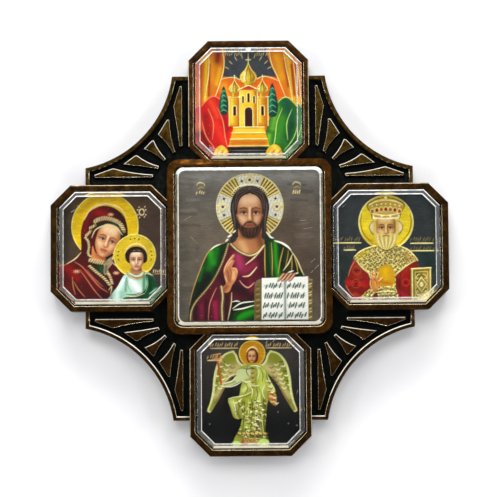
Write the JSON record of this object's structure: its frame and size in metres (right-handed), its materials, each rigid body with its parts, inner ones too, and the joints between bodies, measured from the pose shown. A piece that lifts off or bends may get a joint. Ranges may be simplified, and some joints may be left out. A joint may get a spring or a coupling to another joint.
{
  "type": "religious icon",
  "caption": "Small cross-shaped icon with a moulded plated frame, embossed foil pictures in its arms and middle, and clear sloped-edge covers.",
  "frame": {"origin": "middle of the flat back, on the surface that the icon lies on", "axes": "+Z out of the icon's face, +Y towards the pictures' upper edge, +X to the viewer's right"},
  "size_m": [0.0896, 0.0936, 0.0068],
  "materials": {
    "plated_frame": "antique bronze electroplate on moulded plastic, dark in the hollows and rubbed bright on the edges",
    "foil_picture_centre": "embossed pewter-coloured foil on card, printed in crimson, green and gold",
    "foil_picture_top": "embossed foil on card, printed in yellow, orange, red and dark green",
    "foil_picture_left": "embossed foil on card, printed in maroon, yellow, white and green",
    "foil_picture_right": "embossed slate-coloured foil on card, printed in gold, yellow and red",
    "foil_picture_bottom": "embossed dark foil on card, printed in pale yellow-green and gold",
    "clear_cover": "clear moulded polystyrene, glossy with fine scratches"
  },
  "bodies": {
    "root": {"moulded_frame": "plated_frame", "picture_centre": "foil_picture_centre", "picture_top": "foil_picture_top", "picture_left": "foil_picture_left", "picture_right": "foil_picture_right", "picture_bottom": "foil_picture_bottom", "clear_cover_centre": "clear_cover", "clear_cover_top": "clear_cover", "clear_cover_left": "clear_cover", "clear_cover_right": "clear_cover", "clear_cover_bottom": "clear_cover"}
  },
  "joints": []
}
